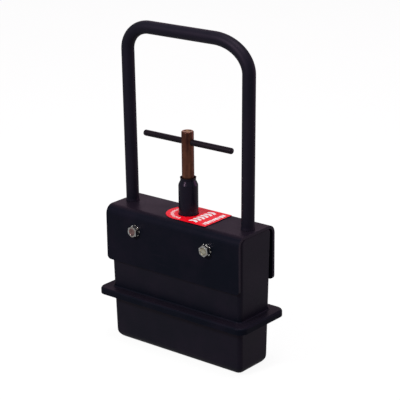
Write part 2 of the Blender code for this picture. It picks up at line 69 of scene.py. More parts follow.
# Casing
CASING_DRAFT = math.radians(1.05)
CASING_WALL = 3 * MM
CASING_CORNER = 4.5 * MM
CASING_BOTTOM_RADIUS = 9 * MM
CASING_INNER_RADIUS = 3 * MM
CASING_FOOT_CORNER = 4 * MM
RIM_GAP = 0.3 * MM
RIM_EDGE = 0.3 * MM
RIM_STEPS = 6
CORNER_STEPS = 12
FILLET_STEPS = 8
FINE_STEPS = 4
BOLT_HOLE_RADIUS = 3.3 * MM
HOLE_SIDES = 32
HOLE_REACH = 40 * MM

# Flange collar
FLANGE_CORNER = 9 * MM
FLANGE_TOP_RADIUS = 2.2 * MM
FLANGE_BOTTOM_RADIUS = 0.15 * MM
FLANGE_RIM = 1.6 * MM
SEAM = 0.08 * MM

# Cover sheet
SHEET = 3 * MM
SHEET_BEND = 9 * MM
SHEET_CORNER = 4 * MM
SHEET_EDGE = 0.45 * MM
SHEET_EDGE_ANGLE = math.radians(60)
SHEET_EDGE_STEPS = 3
SHEET_COLUMNS = 12
SHEET_END_ROW = 1 * MM
BEND_STEPS = 14

# Handle and its welds
BAR_RADIUS = 6.35 * MM
LEG_LEAN = 1.5 * MM
LEG_STEPS = 6
LEFT_BEND = (28 * MM, 24 * MM)
RIGHT_BEND = (40 * MM, 29 * MM)
BAR_BEND_STEPS = 32
BAR_SIDES = 48
WELD_HEIGHT = 5 * MM
WELD_FOOT_RADIUS = 6.85 * MM
WELD_STEPS = 12
WELD_RIPPLES = 16
WELD_RIPPLE_DEPTH = 0.14 * MM
WELD_RIPPLE_SIDES = 6
WELD_RIPPLE_LEAN = 1.4
WELD_HOLLOW = 2.2
WELD_SINK = 0.08 * MM
WELD_BITE = 0.4 * MM

# Guide tube, spindle and T-bar
TURNED_SIDES = 96
TUBE_RADIUS = 9.6 * MM
TUBE_BORE = 7.45 * MM
TUBE_SPIGOT = 8.2 * MM
NECK_RADIUS = 7.3 * MM
LIP_RADIUS = 7.65 * MM
LIP_HEIGHT = 2.2 * MM
CONE_HEIGHT = 5 * MM
BORE_CHAMFER = (0.35 * MM, 0.3 * MM)
BORE_FILLET = 0.1 * MM
LIP_FILLET = 0.35 * MM
LIP_STEP = 0.2 * MM
LIP_STEP_FILLET = 0.25 * MM
NECK_STEP = 0.15 * MM
NECK_FILLET = 0.2 * MM
SHOULDER_FILLET = 0.9 * MM
FLARE_START = 3.2 * MM
FLARE_START_FILLET = 0.8 * MM
FLARE_END = 1.1 * MM
FLARE_END_FILLET = 0.5 * MM
FLARE_INSET = 0.05 * MM
TUBE_FOOT_INSET = 0.25 * MM
TUBE_FOOT_FILLET = 0.2 * MM
SPIGOT_RADIUS = 4 * MM
SPIGOT_CHAMFER = 0.5 * MM
SPIGOT_GAP = 0.3 * MM
CENTRE_DRILL = (0.9 * MM, 1.5 * MM, 2.4 * MM)
CENTRE_DRILL_FILLET = 0.1 * MM
DISH_EDGE = (3.5 * MM, 0.55 * MM)
DISH_EDGE_FILLET = 0.3 * MM
SPINDLE_RIM = 3.9 * MM
SPINDLE_RIM_FILLET = 0.15 * MM
SPINDLE_CHAMFER = 0.75 * MM
SPINDLE_CHAMFER_FILLET = 0.25 * MM
SPINDLE_SHOULDER_FILLET = 0.2 * MM
T_BAR_HOLE_GAP = 0.06 * MM
T_BAR_HOLE_SIDES = 48
T_BAR_SIDES = 40
T_BAR_CROWN = (0.5 * MM, 0.25 * MM)
T_BAR_CROWN_FILLET = 0.3 * MM
T_BAR_END = 1.1 * MM
T_BAR_END_FILLET = 0.5 * MM

# Fasteners
HEX_FLATS = 10 * MM
HEX_SAMPLES = 72
HEX_CHAMFER = math.radians(28)
HEX_SEAT = 0.97
HEX_EDGE = 0.1 * MM
HEAD_HEIGHT = 4 * MM
DISH_RADIUS = 3.7 * MM
DISH_DEPTH = 1.1 * MM
DISH_LIP = (0.25 * MM, 0.12 * MM)
DISH_WALL = (0.3 * MM, 0.7)
DISH_FLOOR = 0.6
BOLT_RADIUS = 3 * MM
THREAD_PITCH = 1 * MM
THREAD_DEPTH = 0.5 * MM
THREAD_SAMPLES = 8
THREAD_LENGTH = 9 * MM
THREAD_RUN_OUT = 1 * MM
BOLT_TIP = (0.1 * MM, 0.4 * MM)
BOLT_TILTS = {"left": math.radians(-4), "right": math.radians(9)}
NUT_BORE_GAP = 0.05 * MM
NUT_CHAMFER = 0.3 * MM
STAR_TEETH = 8
STAR_TOOTH = 1.3 * MM
TOOTH_SAMPLES = 8
STAR_TWIST = 0.22 * MM
STAR_PLATE = 0.35 * MM

# Name plate and its plain marks
PLATE_CLEARANCE = 0.25 * MM
PLATE_CORNER = 0.6 * MM
PLATE_END_STEPS = 48
PLATE_HOLE_STEPS = 64
PLATE_SINK = 0.1 * MM
INK_THICKNESS = 0.05 * MM
MARK_REACH = 16.5 * MM
CHEVRONS = 6
CHEVRON_X = 17.9 * MM
CHEVRON_SIZE = 9.2 * MM
CHEVRON_BAR = 0.62
CHEVRON_LEAN = 0.36
BARS = 9
BARS_X = 31.5 * MM
BAR_MARK = 5 * MM
WIDE_BAR = 0.40
NARROW_BAR = 0.28
SHORT_BAR = 0.8
ARC_BARS = 13
ARC_START = 165
ARC_END = 275
ARC_RADII = (14 * MM, 17.4 * MM)
ARC_SHORTER = 0.8 * MM
ARC_BAR_WIDTH = 1.4 * MM

# Camera, aimed from the frame's middle
AZIMUTH = math.radians(39.32)
ELEVATION = math.radians(18.34)
ROLL = math.radians(-0.63)
CAMERA_DISTANCE = 1.436
TARGET_RIGHT = 11.1 * MM
TARGET_DOWN = 6.7 * MM
LENS = 134.3
SENSOR = 36

# Lights: each is its size, distance, azimuth and elevation from the frame's middle, power and colour
LIGHTS = {
    "key_softbox": (0.22, 1.3, math.radians(-11), math.radians(33), 9.0, (1.0, 1.0, 1.0)),
    "top_softbox": (0.9, 1.6, math.radians(60), math.radians(80), 15.0, (1.0, 1.0, 1.0)),
    "back_softbox": (1.2, 1.8, math.radians(219), math.radians(28), 2.2, (1.0, 0.55, 0.85)),
    "side_softbox": (0.8, 1.4, math.radians(141), math.radians(10), 2.8, (1.0, 0.48, 0.92)),
}
FLOOR_SIZE = 30
FLOOR_GLOW = 0.92
BOUNCE_GLOW = 0.25
WORLD_GLOW = 0.30


# ---------------------------------------------------------------- node materials


class Nodes:
    """A small helper that adds and wires shader nodes in one material."""

    def __init__(self, name):
        self.material = bpy.data.materials.new(name)
        self.material.use_nodes = True
        self.tree = self.material.node_tree
        self.shader = self.tree.nodes["Principled BSDF"]
        self.place = self.add("ShaderNodeTexCoord").outputs["Object"]

    def add(self, kind, **settings):
        node = self.tree.nodes.new(kind)
        for key, value in settings.items():
            setattr(node, key, value)
        return node

    def link(self, output, socket):
        self.tree.links.new(output, socket)

    def stretched(self, scale):
        mapping = self.add("ShaderNodeMapping")
        mapping.inputs["Scale"].default_value = scale
        self.link(self.place, mapping.inputs["Vector"])
        return mapping.outputs["Vector"]

    def noise(self, scale, detail=4.0, roughness=0.55, stretch=None, distortion=0.0):
        node = self.add("ShaderNodeTexNoise")
        node.inputs["Scale"].default_value = scale
        node.inputs["Detail"].default_value = detail
        node.inputs["Roughness"].default_value = roughness
        node.inputs["Distortion"].default_value = distortion
        self.link(self.stretched(stretch) if stretch else self.place, node.inputs["Vector"])
        return node.outputs["Fac"]

    def ramp(self, value, low, high, first=0.0, last=1.0):
        node = self.add("ShaderNodeMapRange")
        node.inputs["From Min"].default_value = low
        node.inputs["From Max"].default_value = high
        node.inputs["To Min"].default_value = first
        node.inputs["To Max"].default_value = last
        self.link(value, node.inputs["Value"])
        return node.outputs["Result"]

    def maths(self, operation, first, second):
        node = self.add("ShaderNodeMath", operation=operation)
        for socket, value in zip(node.inputs, (first, second)):
            if isinstance(value, (int, float)):
                socket.default_value = value
            else:
                self.link(value, socket)
        return node.outputs["Value"]

    def mix(self, factor, first, second):
        """Two colours mixed by a factor. Each is an RGB tuple or another node's output."""
        node = self.add("ShaderNodeMix", data_type="RGBA")
        sockets = [s for s in node.inputs if s.type == "RGBA"]
        self.link(factor, node.inputs["Factor"])
        for socket, value in zip(sockets, (first, second)):
            if isinstance(value, tuple):
                socket.default_value = (*value, 1)
            else:
                self.link(value, socket)
        return next(s for s in node.outputs if s.type == "RGBA")

    def bump(self, heights, distance, strength=1.0):
        node = self.add("ShaderNodeBump")
        node.inputs["Distance"].default_value = distance
        node.inputs["Strength"].default_value = strength
        self.link(heights, node.inputs["Height"])
        self.link(node.outputs["Normal"], self.shader.inputs["Normal"])

    def up_facing(self):
        """1 on faces that look up, and 0 on the others."""
        geometry = self.add("ShaderNodeNewGeometry")
        split = self.add("ShaderNodeSeparateXYZ")
        self.link(geometry.outputs["True Normal"], split.inputs["Vector"])
        return self.ramp(split.outputs["Z"], 0.75, 0.95)

    def height(self):
        split = self.add("ShaderNodeSeparateXYZ")
        self.link(self.place, split.inputs["Vector"])
        return split.outputs["Z"]

    def colour(self, output):
        self.link(output, self.shader.inputs["Base Color"])

    def roughness(self, output):
        self.link(output, self.shader.inputs["Roughness"])

    def set(self, **values):
        for key, value in values.items():
            self.shader.inputs[key.replace("_", " ")].default_value = value


ENAMEL_BASE = (0.0034, 0.0051, 0.0098)
ENAMEL_GREY = (0.0150, 0.0100, 0.0200)
# Colour of the painted sheen that lightens up-facing enamel faces, standing in for reflected light.
ENAMEL_TOP_SHEEN = (0.0170, 0.0085, 0.0145)
ENAMEL_DUST = (0.062, 0.048, 0.052)
ENAMEL_CHIP = (0.10, 0.088, 0.086)


def enamel(name, gloss=0.36, wear=0.0, scuffs=0.0, sheen=0.05, top_sheen=0.5):
    """Semi-gloss black stoving enamel: orange peel, rubbed patches, hairline scratches, dust, and a painted
    sheen that lightens up-facing faces.
    """
    n = Nodes(name)
    patches = n.noise(28, 5, 0.6)
    colour = n.mix(n.ramp(patches, 0.42, 0.72, 0.0, 0.35), ENAMEL_BASE, ENAMEL_GREY)
    hairlines = n.noise(60, 2, 0.5, stretch=(0.35, 9.0, 9.0), distortion=0.25)
    lines = n.ramp(hairlines, 0.66, 0.74, 0.0, 0.30)
    colour = n.mix(lines, colour, ENAMEL_GREY)
    # Painted sheen: up-facing faces are lightened in patches towards a pinkish colour, standing in for
    # reflected light on the tops.
    sheen_patches = n.ramp(n.noise(38, 4, 0.6, stretch=(0.25, 1.0, 1.0)), 0.30, 0.70, 0.4, 1.0)
    painted_top_sheen = n.maths("MULTIPLY", n.maths("MULTIPLY", sheen_patches, n.up_facing()), top_sheen)
    colour = n.mix(painted_top_sheen, colour, ENAMEL_TOP_SHEEN)
    specks = n.noise(900, 2, 0.7)
    dust = n.maths("MULTIPLY", n.ramp(specks, 0.60, 0.78), n.up_facing())
    colour = n.mix(n.maths("MULTIPLY", dust, 0.35), colour, ENAMEL_DUST)
    if wear:
        chips = n.ramp(n.noise(260, 6, 0.72), 0.70 - 0.10 * wear, 0.76 - 0.10 * wear)
        colour = n.mix(n.maths("MULTIPLY", chips, 0.7), colour, ENAMEL_CHIP)
        colour = n.mix(n.ramp(n.noise(90, 3, 0.5), 0.35, 0.75, 0.1, 0.55), colour, ENAMEL_GREY)
    if scuffs:
        low = n.ramp(n.height(), 2 * MM, 14 * MM, 1.0, 0.0)
        rubs = n.ramp(n.noise(240, 5, 0.65, stretch=(1.0, 1.0, 0.35)), 0.50, 0.66)
        colour = n.mix(n.maths("MULTIPLY", n.maths("MULTIPLY", low, rubs), scuffs), colour, ENAMEL_CHIP)
    n.colour(colour)
    dulled = n.ramp(n.noise(17, 4, 0.6), 0.3, 0.7, gloss - 0.05, gloss + 0.09)
    n.roughness(n.maths("ADD", dulled, n.maths("MULTIPLY", n.ramp(specks, 0.5, 0.8), 0.06)))
    peel = n.noise(620, 2, 0.5)
    waves = n.noise(46, 2, 0.5)
    n.bump(n.maths("ADD", peel, n.maths("MULTIPLY", waves, 3.0)), 0.03 * MM, 0.55)
    n.set(Specular_IOR_Level=sheen, Specular_Tint=(1.0, 0.66, 0.95, 1))
    return n.material


def blackened(name):
    """Chemically blackened round bar: drawn lines along X, with a little brown where it is handled."""
    n = Nodes(name)
    drawn = n.noise(120, 4, 0.6, stretch=(0.15, 6.0, 6.0))
    colour = n.mix(n.ramp(drawn, 0.3, 0.75), (0.0020, 0.0018, 0.0042), (0.0070, 0.0052, 0.0080))
    handled = n.ramp(n.noise(60, 5, 0.65), 0.52, 0.74, 0.0, 0.5)
    n.colour(n.mix(handled, colour, (0.022, 0.014, 0.015)))
    n.roughness(n.ramp(drawn, 0.25, 0.75, 0.34, 0.50))
    n.bump(n.maths("ADD", drawn, n.maths("MULTIPLY", n.noise(900, 3, 0.6), 0.5)), 0.02 * MM, 0.5)
    n.set(Specular_IOR_Level=0.18, Specular_Tint=(1.0, 0.72, 0.90, 1))
    return n.material


def bronze(name):
    """Turned bronze with brown tarnish that runs down it in streaks, fine tool rings, and a painted
    highlight on up-facing faces.
    """
    n = Nodes(name)
    streaks = n.noise(260, 4, 0.6, stretch=(1.0, 1.0, 0.06))
    stains = n.noise(55, 5, 0.65)
    tarnish = n.maths("ADD", n.maths("MULTIPLY", streaks, 0.6), n.maths("MULTIPLY", stains, 0.4))
    colour = n.mix(n.ramp(tarnish, 0.40, 0.60), (0.230, 0.086, 0.052), (0.058, 0.0200, 0.0160))
    bright = n.ramp(n.noise(420, 3, 0.6, stretch=(1.0, 1.0, 0.12)), 0.62, 0.78, 0.0, 0.7)
    colour = n.mix(bright, colour, (0.30, 0.155, 0.085))
    # Painted highlight: up-facing faces, such as the spindle's top, are mixed towards a light bronze
    # colour.
    n.colour(n.mix(n.maths("MULTIPLY", n.up_facing(), 0.8), colour, (0.52, 0.34, 0.20)))
    n.roughness(n.ramp(tarnish, 0.35, 0.65, 0.27, 0.44))
    rings = n.add("ShaderNodeTexWave", wave_type="BANDS", bands_direction="Z")
    rings.inputs["Scale"].default_value = 550
    rings.inputs["Distortion"].default_value = 0.6
    n.link(n.place, rings.inputs["Vector"])
    n.bump(n.maths("ADD", rings.outputs["Fac"], streaks), 0.012 * MM, 0.6)
    n.set(Metallic=0.92)
    return n.material


def zinc(name, pale, stained, grimy):
    """Zinc plate: pale, a little blue and straw in patches, with fine pitting and grime."""
    n = Nodes(name)
    patches = n.noise(300, 3, 0.5)
    colour = n.mix(n.ramp(patches, 0.35, 0.65), pale, stained)
    grime = n.ramp(n.noise(700, 5, 0.7), 0.55, 0.75, 0.0, 0.6)
    n.colour(n.mix(grime, colour, grimy))
    n.roughness(n.ramp(n.noise(500, 4, 0.6), 0.3, 0.7, 0.14, 0.32))
    n.bump(n.noise(1500, 3, 0.6), 0.015 * MM, 0.6)
    n.set(Metallic=1.0)
    return n.material


def printed(name, pale, deep, rubbed):
    """A printed plate's ink: slight mottling, rubbed lighter in places, satin gloss."""
    n = Nodes(name)
    colour = n.mix(n.ramp(n.noise(130, 4, 0.6), 0.3, 0.7), pale, deep)
    rubs = n.ramp(n.noise(420, 5, 0.7), 0.64, 0.80, 0.0, 0.5)
    n.colour(n.mix(rubs, colour, rubbed))
    n.roughness(n.ramp(n.noise(70, 4, 0.6), 0.3, 0.7, 0.30, 0.44))
    n.bump(n.noise(800, 3, 0.5), 0.01 * MM, 0.5)
    n.set(Specular_IOR_Level=0.12)
    return n.material


def machined(name, light, dark, metallic, rough):
    """A machined or ground inner piece, with the cutter's lines and oil stains."""
    n = Nodes(name)
    lines = n.noise(180, 4, 0.6, stretch=(0.2, 4.0, 4.0))
    stains = n.noise(40, 5, 0.6)
    colour = n.mix(n.ramp(lines, 0.3, 0.7), light, dark)
    n.colour(n.mix(n.ramp(stains, 0.5, 0.75, 0.0, 0.5), colour, dark))
    n.roughness(n.ramp(stains, 0.3, 0.7, rough - 0.07, rough + 0.10))
    n.bump(lines, 0.02 * MM, 0.6)
    n.set(Metallic=metallic)
    return n.material


ENAMEL = enamel("enamel_black", sheen=0.06)
ENAMEL_EDGE = enamel("enamel_black_edge", gloss=0.42, wear=0.2, sheen=0.20)
ENAMEL_FLANGE = enamel("enamel_flange", gloss=0.44, sheen=0.05, top_sheen=0.38)
ENAMEL_CASING = enamel("enamel_casing", gloss=0.40, scuffs=0.06, sheen=0.17)
ENAMEL_BAR = enamel("enamel_bar", gloss=0.48, sheen=0.17, top_sheen=0.0)
ENAMEL_WELD = enamel("enamel_weld", gloss=0.40, wear=0.15, sheen=0.14)
ENAMEL_TUBE = enamel("enamel_tube", gloss=0.20, sheen=0.20, top_sheen=0.2)
BLACKENED = blackened("blackened_steel")
BRONZE = bronze("bronze_tarnished")
ZINC = zinc("zinc_bright", (0.66, 0.69, 0.69), (0.42, 0.37, 0.33), (0.16, 0.12, 0.11))
ZINC_STRAW = zinc("zinc_straw", (0.66, 0.64, 0.52), (0.30, 0.24, 0.16), (0.12, 0.09, 0.07))
ZINC_DISH = zinc("zinc_stained", (0.34, 0.21, 0.20), (0.20, 0.12, 0.115), (0.09, 0.055, 0.05))
RED_INK = printed("plate_red", (0.90, 0.006, 0.018), (0.80, 0.003, 0.012), (0.92, 0.10, 0.12))
WHITE_INK = printed("plate_white", (0.92, 0.88, 0.88), (0.88, 0.80, 0.81), (0.90, 0.46, 0.50))


# ---------------------------------------------------------------- mesh helpers


def arc(centre, radius, start, end, steps):
    """Points round a centre, from one angle in degrees to another."""
    angles = [math.radians(start + (end - start) * i / steps) for i in range(steps + 1)]
    return [(centre[0] + radius * math.cos(a), centre[1] + radius * math.sin(a)) for a in angles]


def finish_piece(bm, name, body, nodes=(), materials=(), smooth=True, outward=False):
    """Makes the mesh a piece that rides on a body, stands for CAD nodes and takes its materials.

    outward is for faces that already look outwards.
    """
    if not outward:
        bmesh.ops.recalc_face_normals(bm, faces=bm.faces)
    mesh = bpy.data.meshes.new(name)
    bm.to_mesh(mesh)
    bm.free()
    if smooth:
        mesh.shade_smooth()
        mesh.set_sharp_from_angle(angle=SHARP)
    piece = bpy.data.objects.new(name, mesh)
    bpy.context.scene.collection.objects.link(piece)
    for material in materials:
        mesh.materials.append(material)
    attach(piece, body)
    if nodes:
        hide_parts(*nodes)
    return piece


def weighted_normals(piece):
    modifier = piece.modifiers.new("weighted_normals", "WEIGHTED_NORMAL")
    modifier.keep_sharp = True
    modifier.weight = FACE_WEIGHT


def loft(bm, rings, cap_first=False, cap_last=False, closed=False, marks=None):
    """Quads between rings that have the same number of points. marks lists bands of the second material."""
    rows = [[bm.verts.new(point) for point in ring] for ring in rings]
    count = len(rows[0])
    pairs = list(zip(rows, rows[1:] + ([rows[0]] if closed else [])))
    for k, (low, high) in enumerate(pairs):
        for i in range(count):
            j = (i + 1) % count
            face = bm.faces.new((low[i], low[j], high[j], high[i]))
            if marks and k in marks:
                face.material_index = 1
    if cap_first:
        bm.faces.new(rows[0])
    if cap_last:
        bm.faces.new(rows[-1])
    return rows


def rounded_ring(half_x, half_y, radius, z):
    radius = max(radius, 0.05 * MM)
    x = half_x - radius
    y = half_y - radius
    points = []
    for start, corner in ((0, (x, y)), (90, (-x, y)), (180, (-x, -y)), (270, (x, -y))):
        points += arc(corner, radius, start, start + 90, CORNER_STEPS)
    return [(px, py, z) for px, py in points]


def turned_rings(profile, sides):
    """Rings for a profile of (radius, height) points turned about Z."""
    turns = [2 * math.pi * i / sides for i in range(sides)]
    return [[(r * math.cos(t), r * math.sin(t), z) for t in turns] for r, z in profile]


def turned_solid(bm, profile, sides):
    """A solid of revolution. A point on the axis at either end gives way to a flat cap."""
    rings = turned_rings([point for point in profile if point[0] > 0], sides)
    loft(bm, rings, cap_first=True, cap_last=True)


def rounded_profile(corners):
    """Profile points from (radius, height, fillet) corners, each fillet a short arc."""
    points = []
    count = len(corners)
    for i, (r, z, fillet) in enumerate(corners):
        here = Vector((r, z))
        if not fillet or i in (0, count - 1):
            points.append((r, z))
            continue
        before = (Vector(corners[i - 1][:2]) - here).normalized()
        after = (Vector(corners[i + 1][:2]) - here).normalized()
        start = here + before * fillet
        end = here + after * fillet
        for k in range(FINE_STEPS + 1):
            t = k / FINE_STEPS
            point = start * (1 - t) ** 2 + here * 2 * t * (1 - t) + end * t ** 2
            points.append((point.x, point.y))
    return points


def move(bm, matrix, verts=None):
    bmesh.ops.transform(bm, matrix=matrix, verts=verts or bm.verts)


def cutter(name, bm):
    bmesh.ops.recalc_face_normals(bm, faces=bm.faces)
    mesh = bpy.data.meshes.new(name)
    bm.to_mesh(mesh)
    bm.free()
    obj = bpy.data.objects.new(name, mesh)
    bpy.context.scene.collection.objects.link(obj)
    return obj


def cut(piece, tool):
    """Cuts the tool out of the piece's mesh for good, and removes the tool."""
    modifier = piece.modifiers.new("cut", "BOOLEAN")
    modifier.operation = "DIFFERENCE"
    modifier.solver = "EXACT"
    modifier.object = tool
    bpy.context.view_layer.update()
    graph = bpy.context.evaluated_depsgraph_get()
    mesh = bpy.data.meshes.new_from_object(piece.evaluated_get(graph))
    piece.modifiers.clear()
    old = piece.data
    piece.data = mesh
    bpy.data.meshes.remove(old)
    bpy.data.objects.remove(tool)


TO_FRONT = Matrix.Rotation(math.radians(90), 4, "X")
TO_BACK = Matrix.Rotation(math.radians(-90), 4, "X")
ALONG_X = Matrix.Rotation(math.radians(90), 4, "Y")


# ---------------------------------------------------------------- pieces


def middle(node):
    low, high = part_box(node)
    return (low + high) / 2


def make_casing():
    """A deep tray: rounded bottom edge, tapered sides, and a rim that fits inside the cover's bends."""
    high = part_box("casing")[1]
    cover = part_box("cover_channel")[1]
    slope = math.tan(CASING_DRAFT)
    bend_start = cover.z - SHEET_BEND
    inner_bend = SHEET_BEND - SHEET
    top = cover.z - SHEET - RIM_GAP

    def wall(z, inset):
        spread = (high.z - z) * slope + inset
        corner = max(CASING_CORNER - inset, CASING_FOOT_CORNER)
        climb = max(z - bend_start, 0)
        room = cover.y - SHEET_BEND + math.sqrt(inner_bend ** 2 - climb ** 2) - RIM_GAP
        return rounded_ring(high.x - spread, min(high.y - spread, room - inset), corner, z)

    quarter = [math.radians(90 * i / FILLET_STEPS) for i in range(FILLET_STEPS + 1)]
    outer = CASING_BOTTOM_RADIUS
    inner = CASING_INNER_RADIUS
    rings = [wall(outer * (1 - math.cos(a)), outer * (1 - math.sin(a))) for a in quarter]
    rim = [bend_start + (top - RIM_EDGE - bend_start) * i / RIM_STEPS for i in range(RIM_STEPS + 1)]
    rings += [wall(z, 0) for z in rim]
    rings += [wall(top, RIM_EDGE), wall(top, CASING_WALL), wall(bend_start, CASING_WALL)]
    rings += [
        wall(CASING_WALL + inner * (1 - math.sin(a)), CASING_WALL + inner * (1 - math.cos(a)))
        for a in quarter
    ]
    bm = bmesh.new()
    loft(bm, rings, cap_first=True, cap_last=True)
    casing = finish_piece(bm, "casing_shell", "housing", ["casing"], [ENAMEL_CASING])
    cut_bolt_holes(casing)
    weighted_normals(casing)


def cut_bolt_holes(piece):
    for node in ("through_bolt_left", "through_bolt_right"):
        bm = bmesh.new()
        turned_solid(bm, [(BOLT_HOLE_RADIUS, -HOLE_REACH), (BOLT_HOLE_RADIUS, HOLE_REACH)], HOLE_SIDES)
        place = middle(node)
        move(bm, Matrix.Translation((place.x, 0, place.z)) @ TO_BACK)
        cut(piece, cutter("bolt_hole", bm))


def make_flange_collar():
    """A flat ring with a rounded outer edge and a raised fillet where it meets the casing."""
    low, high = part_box("flange_collar")
    casing_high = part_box("casing")[1]

    def casing_inset(z):
        return high.x - casing_high.x + (casing_high.z - z) * math.tan(CASING_DRAFT) - SEAM

    reach = casing_inset(low.z)

    def ring(inset, z):
        corner = FLANGE_CORNER + (CASING_CORNER - FLANGE_CORNER) * inset / reach
        return rounded_ring(high.x - inset, high.y - inset, corner, z)

    foot = FLANGE_BOTTOM_RADIUS
    edge = FLANGE_TOP_RADIUS
    rim = FLANGE_RIM
    inner = casing_inset(high.z + rim)
    profile = arc((foot, low.z + foot), foot, 270, 180, FINE_STEPS)
    profile += arc((edge, high.z - edge), edge, 180, 90, FILLET_STEPS)
    profile += arc((inner - rim, high.z + rim), rim, 270, 360, FILLET_STEPS)
    profile += [(casing_inset(low.z), low.z)]
    bm = bmesh.new()
    loft(bm, [ring(inset, z) for inset, z in profile], closed=True)
    collar = finish_piece(
        bm, "flange_collar_ring", "housing", ["flange_collar"], [ENAMEL_FLANGE]
    )
    weighted_normals(collar)


def make_cover():
    """A bent sheet: the flat blank has rounded corners, and it is folded over two bends."""
    low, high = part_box("cover_channel")
    bend = SHEET_BEND
    quarter = [math.radians(90 * i / FILLET_STEPS) for i in range(FILLET_STEPS + 1)]
    skirt = [(low.z + SHEET_CORNER * (1 - math.cos(a)), SHEET_CORNER * (1 - math.sin(a))) for a in quarter]
    path = [(high.y, z, inset) for z, inset in skirt]
    path += [(y, z, 0) for y, z in arc((high.y - bend, high.z - bend), bend, 0, 90, BEND_STEPS)]
    path += [(-y, z, inset) for y, z, inset in reversed(path)]
    inner_x = high.x - SHEET_CORNER - SHEET_END_ROW
    columns = [inner_x * (2 * i / SHEET_COLUMNS - 1) for i in range(SHEET_COLUMNS + 1)]
    bm = bmesh.new()
    rows = []
    for y, z, inset in path:
        xs = [inset - high.x] + columns + [high.x - inset]
        rows.append([bm.verts.new((x, y, z)) for x in xs])
    for first, second in zip(rows, rows[1:]):
        for i in range(len(first) - 1):
            bm.faces.new((first[i], second[i], second[i + 1], first[i + 1]))
    cover = finish_piece(
        bm, "cover_sheet", "housing", ["cover_channel"], [ENAMEL, ENAMEL_EDGE], outward=True
    )
    solidify = cover.modifiers.new("sheet", "SOLIDIFY")
    solidify.thickness = SHEET
    solidify.offset = -1
    solidify.use_even_offset = True
    solidify.material_offset_rim = 1
    bevel = cover.modifiers.new("edges", "BEVEL")
    bevel.limit_method = "ANGLE"
    bevel.angle_limit = SHEET_EDGE_ANGLE
    bevel.width = SHEET_EDGE
    bevel.segments = SHEET_EDGE_STEPS
    bevel.material = 1
    cut_bolt_holes(cover)
    weighted_normals(cover)


def bar_side(side, bend, shoulder_x, top, foot):
    """Centreline points in XZ up one leg and round its hand-formed bend, a quarter of an ellipse."""
    along_x, along_z = bend
    rise = top - along_z - foot - WELD_HEIGHT
    leg = [(shoulder_x - LEG_LEAN, foot)]
    leg += [
        (shoulder_x - LEG_LEAN * (1 - i / LEG_STEPS), foot + WELD_HEIGHT + rise * i / LEG_STEPS)
        for i in range(LEG_STEPS)
    ]
    quarter = arc((0, 0), 1, 0, 90, BAR_BEND_STEPS)
    leg += [(shoulder_x - along_x * (1 - x), top - along_z * (1 - z)) for x, z in quarter]
    return [(side * x, z) for x, z in leg]


def make_handle():
    """One bent round bar, swept along its centreline, and a weld round each foot."""
    low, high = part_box("handle_bar")
    shoulder_x = high.x - BAR_RADIUS
    right = bar_side(1, RIGHT_BEND, shoulder_x, high.z - BAR_RADIUS, low.z)
    left = bar_side(-1, LEFT_BEND, shoulder_x, high.z - BAR_RADIUS, low.z)
    path = right + left[::-1]
    rings = []
    for k, (x, z) in enumerate(path):
        before = path[max(k - 1, 0)]
        after = path[min(k + 1, len(path) - 1)]
        along = Vector((after[0] - before[0], 0, after[1] - before[1])).normalized()
        side = along.cross(Vector((0, 1, 0)))
        ring = []
        for i in range(BAR_SIDES):
            turn = 2 * math.pi * i / BAR_SIDES
            offset = side * math.cos(turn) + Vector((0, 1, 0)) * math.sin(turn)
            ring.append(Vector((x, 0, z)) + offset * BAR_RADIUS)
        rings.append(ring)
    bm = bmesh.new()
    loft(bm, rings, cap_first=True, cap_last=True)
    finish_piece(bm, "handle_bow", "housing", ["handle_bar"], [ENAMEL_BAR])
    for side, sign in (("left", -1), ("right", 1)):
        make_weld(f"handle_weld_{side}", sign * (shoulder_x - LEG_LEAN), low.z)


def make_weld(name, x, foot):
    """A fillet weld round a leg's foot, with the ripples that its passes leave."""
    sides = WELD_RIPPLES * WELD_RIPPLE_SIDES
    turns = [2 * math.pi * i / sides for i in range(sides)]

    def ring(z, radii):
        return [(x + r * math.cos(t), r * math.sin(t), z) for t, r in zip(turns, radii)]

    rings = []
    for k in range(WELD_STEPS + 1):
        rise = k / WELD_STEPS
        spread = (WELD_FOOT_RADIUS - BAR_RADIUS) * (1 - rise) ** WELD_HOLLOW - WELD_SINK * rise
        ripples = [abs(math.sin(WELD_RIPPLES / 2 * t + WELD_RIPPLE_LEAN * rise)) for t in turns]
        radii = [BAR_RADIUS + spread - WELD_RIPPLE_DEPTH * ripple * (1 - rise) for ripple in ripples]
        rings.append(ring(foot + WELD_HEIGHT * rise, radii))
    inside = [BAR_RADIUS - WELD_BITE] * sides
    rings += [ring(foot + WELD_HEIGHT, inside), ring(foot, inside)]
    bm = bmesh.new()
    loft(bm, rings, closed=True)
    finish_piece(bm, name, "housing", [], [ENAMEL_WELD])


def make_guide_tube():
    """A turned tube: lip, cone, long body, flared foot, and a spigot through the cover."""
    low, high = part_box("guide_tube")
    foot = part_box("handle_bar")[0].z
    top = high.z
    cone_top = top - LIP_HEIGHT
    corners = [
        (TUBE_BORE, top - BORE_CHAMFER[1], 0),
        (TUBE_BORE + BORE_CHAMFER[0], top, BORE_FILLET),
        (LIP_RADIUS, top, LIP_FILLET),
        (LIP_RADIUS, cone_top + LIP_STEP, LIP_STEP_FILLET),
        (NECK_RADIUS, cone_top - NECK_STEP, NECK_FILLET),
        (TUBE_RADIUS, cone_top - CONE_HEIGHT, SHOULDER_FILLET),
        (TUBE_RADIUS, foot + FLARE_START, FLARE_START_FILLET),
        (high.x - FLARE_INSET, foot + FLARE_END, FLARE_END_FILLET),
        (high.x - TUBE_FOOT_INSET, foot, TUBE_FOOT_FILLET),
        (TUBE_SPIGOT, foot, 0),
        (TUBE_SPIGOT, low.z, 0),
        (TUBE_BORE, low.z, 0),
    ]
    bm = bmesh.new()
    loft(bm, turned_rings(rounded_profile(corners), TURNED_SIDES), closed=True)
    finish_piece(bm, "guide_tube_turned", "housing", ["guide_tube"], [ENAMEL_TUBE])


